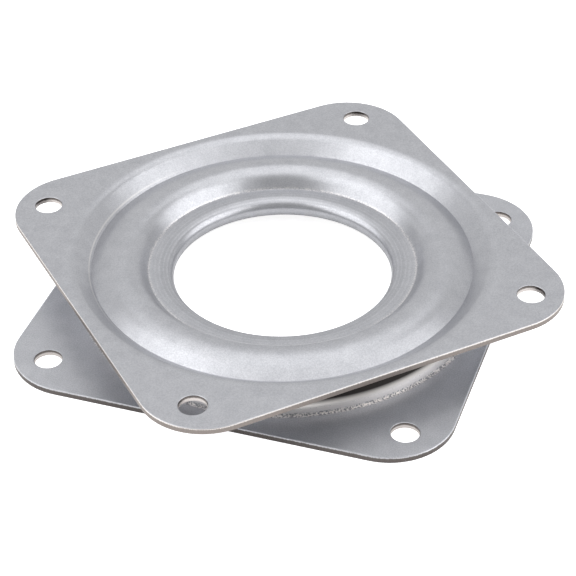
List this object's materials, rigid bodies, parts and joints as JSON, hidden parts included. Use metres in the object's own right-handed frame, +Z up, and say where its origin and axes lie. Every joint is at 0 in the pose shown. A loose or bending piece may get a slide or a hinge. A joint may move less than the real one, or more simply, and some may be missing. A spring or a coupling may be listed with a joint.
{
  "type": "lazy susan bearing",
  "caption": "Small square turntable bearing: two stamped steel plates with corner holes, turning on a ring of loose steel balls round an open centre.",
  "frame": {"origin": "on the turning axis, at the underside of the bottom plate", "axes": "+Z up along the turning axis, X and Y along the sides of the bottom plate"},
  "size_m": [0.0906, 0.0906, 0.0085],
  "materials": {
    "galvanised_sheet": "galvanised cold-rolled sheet, stamped",
    "ball_steel": "ground steel balls"
  },
  "bodies": {
    "base": {"bottom_plate": "galvanised_sheet"},
    "turntable": {"top_plate": "galvanised_sheet"},
    "ball_ring": {"ball_01": "ball_steel", "ball_02": "ball_steel", "ball_03": "ball_steel", "ball_04": "ball_steel", "ball_05": "ball_steel", "ball_06": "ball_steel", "ball_07": "ball_steel", "ball_08": "ball_steel", "ball_09": "ball_steel", "ball_10": "ball_steel", "ball_11": "ball_steel", "ball_12": "ball_steel", "ball_13": "ball_steel", "ball_14": "ball_steel", "ball_15": "ball_steel", "ball_16": "ball_steel", "ball_17": "ball_steel", "ball_18": "ball_steel", "ball_19": "ball_steel", "ball_20": "ball_steel", "ball_21": "ball_steel", "ball_22": "ball_steel", "ball_23": "ball_steel", "ball_24": "ball_steel", "ball_25": "ball_steel", "ball_26": "ball_steel", "ball_27": "ball_steel", "ball_28": "ball_steel", "ball_29": "ball_steel", "ball_30": "ball_steel", "ball_31": "ball_steel", "ball_32": "ball_steel", "ball_33": "ball_steel", "ball_34": "ball_steel", "ball_35": "ball_steel", "ball_36": "ball_steel", "ball_37": "ball_steel", "ball_38": "ball_steel"}
  },
  "joints": [
    {"name": "turntable_turn", "type": "hinge", "parent": "base", "child": "turntable", "pos_m": [0, 0, 0], "axis": [0, 0, 1], "continuous": true},
    {"name": "ball_ring_turn", "type": "hinge", "parent": "base", "child": "ball_ring", "pos_m": [0, 0, 0], "axis": [0, 0, 1], "continuous": true}
  ],
  "couplings": [
    {"joint": "ball_ring_turn", "follows": "turntable_turn", "ratio": 0.5}
  ]
}
